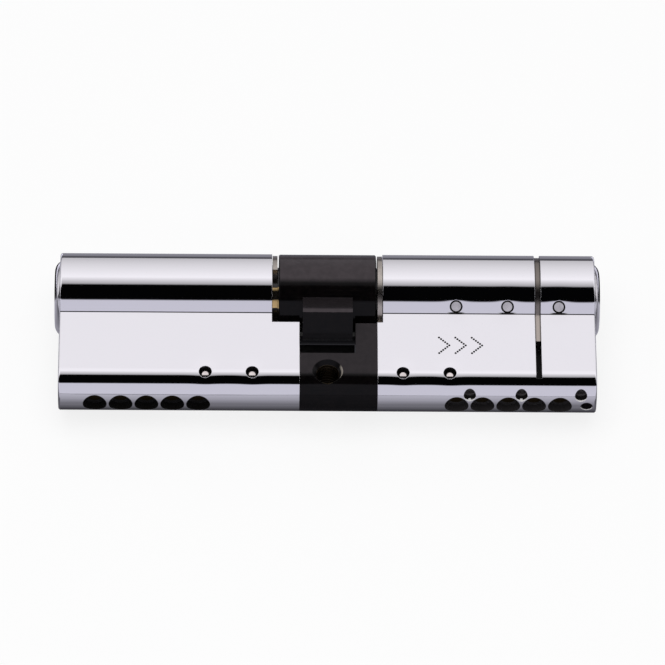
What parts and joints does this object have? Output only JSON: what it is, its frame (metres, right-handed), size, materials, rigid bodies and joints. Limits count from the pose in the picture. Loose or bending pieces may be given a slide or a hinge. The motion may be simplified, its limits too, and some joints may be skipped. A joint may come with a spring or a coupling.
{
  "type": "lock cylinder",
  "caption": "Euro-profile double lock cylinder with turning plugs, sprung pin stacks, a black cam on a sliding clutch, a fixing-screw bridge and a snap groove in the outer half.",
  "frame": {"origin": "on the plug axis, in the plane of the fixing screw", "axes": "+X along the plug axis to the outside of the door, +Y from the leg to the round part, +Z square to the flat of the leg"},
  "size_m": [0.102, 0.033, 0.0185],
  "materials": {
    "chrome_body": "polished chrome plate",
    "black_steel": "satin black oxide",
    "nickel_plug": "nickel plated brass",
    "brass": "turned brass",
    "hard_steel": "ground hardened steel",
    "spring_steel": "bright spring steel",
    "sintered_steel": "sintered steel"
  },
  "bodies": {
    "housing": {"inside_body": "chrome_body", "outside_body": "chrome_body", "bridge": "black_steel", "inside_dowel_pins": "hard_steel", "outside_dowel_pins": "hard_steel", "outside_drill_pins": "hard_steel", "outside_lower_pins": "hard_steel", "inside_chamber_plugs": "brass", "outside_chamber_plugs": "brass", "inside_spring_1": "spring_steel", "inside_spring_2": "spring_steel", "inside_spring_3": "spring_steel", "inside_spring_4": "spring_steel", "inside_spring_5": "spring_steel", "outside_spring_1": "spring_steel", "outside_spring_2": "spring_steel", "outside_spring_3": "spring_steel", "outside_spring_4": "spring_steel", "outside_spring_5": "spring_steel"},
    "inside_plug_set": {"inside_plug": "nickel_plug", "inside_circlip": "spring_steel"},
    "outside_plug_set": {"outside_plug": "nickel_plug", "outside_circlip": "spring_steel"},
    "cam_set": {"cam": "black_steel"},
    "clutch": {"outside_coupler": "sintered_steel", "inside_coupler": "sintered_steel", "coupler_spring": "spring_steel"},
    "inside_driver_1": {"inside_driver_pin_1": "hard_steel"},
    "inside_key_pin_set_1": {"inside_key_pin_1": "brass"},
    "inside_driver_2": {"inside_driver_pin_2": "hard_steel"},
    "inside_key_pin_set_2": {"inside_key_pin_2": "brass"},
    "inside_driver_3": {"inside_driver_pin_3": "hard_steel"},
    "inside_key_pin_set_3": {"inside_key_pin_3": "brass"},
    "inside_driver_4": {"inside_driver_pin_4": "hard_steel"},
    "inside_key_pin_set_4": {"inside_key_pin_4": "brass"},
    "inside_driver_5": {"inside_driver_pin_5": "hard_steel"},
    "inside_key_pin_set_5": {"inside_key_pin_5": "brass"},
    "outside_driver_1": {"outside_driver_pin_1": "hard_steel"},
    "outside_key_pin_set_1": {"outside_key_pin_1": "brass"},
    "outside_driver_2": {"outside_driver_pin_2": "hard_steel"},
    "outside_key_pin_set_2": {"outside_key_pin_2": "brass"},
    "outside_driver_3": {"outside_driver_pin_3": "hard_steel"},
    "outside_key_pin_set_3": {"outside_key_pin_3": "brass"},
    "outside_driver_4": {"outside_driver_pin_4": "hard_steel"},
    "outside_key_pin_set_4": {"outside_key_pin_4": "brass"},
    "outside_driver_5": {"outside_driver_pin_5": "hard_steel"},
    "outside_key_pin_set_5": {"outside_key_pin_5": "brass"}
  },
  "joints": [
    {"name": "outside_plug_turn", "type": "hinge", "parent": "housing", "child": "outside_plug_set", "pos_m": [0, 0, 0], "axis": [1, 0, 0], "continuous": true},
    {"name": "inside_plug_turn", "type": "hinge", "parent": "housing", "child": "inside_plug_set", "pos_m": [0, 0, 0], "axis": [1, 0, 0], "continuous": true},
    {"name": "cam_turn", "type": "hinge", "parent": "housing", "child": "cam_set", "pos_m": [0, 0, 0], "axis": [1, 0, 0], "continuous": true},
    {"name": "clutch_slide", "type": "slide", "parent": "cam_set", "child": "clutch", "axis": [1, 0, 0], "range_m": [-0.0016, 0]},
    {"name": "inside_driver_slide_1", "type": "slide", "parent": "housing", "child": "inside_driver_1", "axis": [0, 1, 0], "range_m": [-0.0025, 0], "stiffness_N_per_m": 40, "springref_m": 0.003, "deforming": ["inside_spring_1"]},
    {"name": "inside_key_pin_slide_1", "type": "slide", "parent": "inside_plug_set", "child": "inside_key_pin_set_1", "axis": [0, 1, 0], "range_m": [0, 0.0012]},
    {"name": "inside_driver_slide_2", "type": "slide", "parent": "housing", "child": "inside_driver_2", "axis": [0, 1, 0], "range_m": [-0.0025, 0], "stiffness_N_per_m": 40, "springref_m": 0.003, "deforming": ["inside_spring_2"]},
    {"name": "inside_key_pin_slide_2", "type": "slide", "parent": "inside_plug_set", "child": "inside_key_pin_set_2", "axis": [0, 1, 0], "range_m": [0, 0.0012]},
    {"name": "inside_driver_slide_3", "type": "slide", "parent": "housing", "child": "inside_driver_3", "axis": [0, 1, 0], "range_m": [-0.0025, 0], "stiffness_N_per_m": 40, "springref_m": 0.003, "deforming": ["inside_spring_3"]},
    {"name": "inside_key_pin_slide_3", "type": "slide", "parent": "inside_plug_set", "child": "inside_key_pin_set_3", "axis": [0, 1, 0], "range_m": [0, 0.0012]},
    {"name": "inside_driver_slide_4", "type": "slide", "parent": "housing", "child": "inside_driver_4", "axis": [0, 1, 0], "range_m": [-0.0025, 0], "stiffness_N_per_m": 40, "springref_m": 0.003, "deforming": ["inside_spring_4"]},
    {"name": "inside_key_pin_slide_4", "type": "slide", "parent": "inside_plug_set", "child": "inside_key_pin_set_4", "axis": [0, 1, 0], "range_m": [0, 0.0012]},
    {"name": "inside_driver_slide_5", "type": "slide", "parent": "housing", "child": "inside_driver_5", "axis": [0, 1, 0], "range_m": [-0.0025, 0], "stiffness_N_per_m": 40, "springref_m": 0.003, "deforming": ["inside_spring_5"]},
    {"name": "inside_key_pin_slide_5", "type": "slide", "parent": "inside_plug_set", "child": "inside_key_pin_set_5", "axis": [0, 1, 0], "range_m": [0, 0.0012]},
    {"name": "outside_driver_slide_1", "type": "slide", "parent": "housing", "child": "outside_driver_1", "axis": [0, 1, 0], "range_m": [-0.0025, 0], "stiffness_N_per_m": 40, "springref_m": 0.003, "deforming": ["outside_spring_1"]},
    {"name": "outside_key_pin_slide_1", "type": "slide", "parent": "outside_plug_set", "child": "outside_key_pin_set_1", "axis": [0, 1, 0], "range_m": [0, 0.0012]},
    {"name": "outside_driver_slide_2", "type": "slide", "parent": "housing", "child": "outside_driver_2", "axis": [0, 1, 0], "range_m": [-0.0025, 0], "stiffness_N_per_m": 40, "springref_m": 0.003, "deforming": ["outside_spring_2"]},
    {"name": "outside_key_pin_slide_2", "type": "slide", "parent": "outside_plug_set", "child": "outside_key_pin_set_2", "axis": [0, 1, 0], "range_m": [0, 0.0012]},
    {"name": "outside_driver_slide_3", "type": "slide", "parent": "housing", "child": "outside_driver_3", "axis": [0, 1, 0], "range_m": [-0.0025, 0], "stiffness_N_per_m": 40, "springref_m": 0.003, "deforming": ["outside_spring_3"]},
    {"name": "outside_key_pin_slide_3", "type": "slide", "parent": "outside_plug_set", "child": "outside_key_pin_set_3", "axis": [0, 1, 0], "range_m": [0, 0.0012]},
    {"name": "outside_driver_slide_4", "type": "slide", "parent": "housing", "child": "outside_driver_4", "axis": [0, 1, 0], "range_m": [-0.0025, 0], "stiffness_N_per_m": 40, "springref_m": 0.003, "deforming": ["outside_spring_4"]},
    {"name": "outside_key_pin_slide_4", "type": "slide", "parent": "outside_plug_set", "child": "outside_key_pin_set_4", "axis": [0, 1, 0], "range_m": [0, 0.0012]},
    {"name": "outside_driver_slide_5", "type": "slide", "parent": "housing", "child": "outside_driver_5", "axis": [0, 1, 0], "range_m": [-0.0025, 0], "stiffness_N_per_m": 40, "springref_m": 0.003, "deforming": ["outside_spring_5"]},
    {"name": "outside_key_pin_slide_5", "type": "slide", "parent": "outside_plug_set", "child": "outside_key_pin_set_5", "axis": [0, 1, 0], "range_m": [0, 0.0012]}
  ],
  "couplings": [
    {"joint": "cam_turn", "follows": "outside_plug_turn", "ratio": 1}
  ]
}
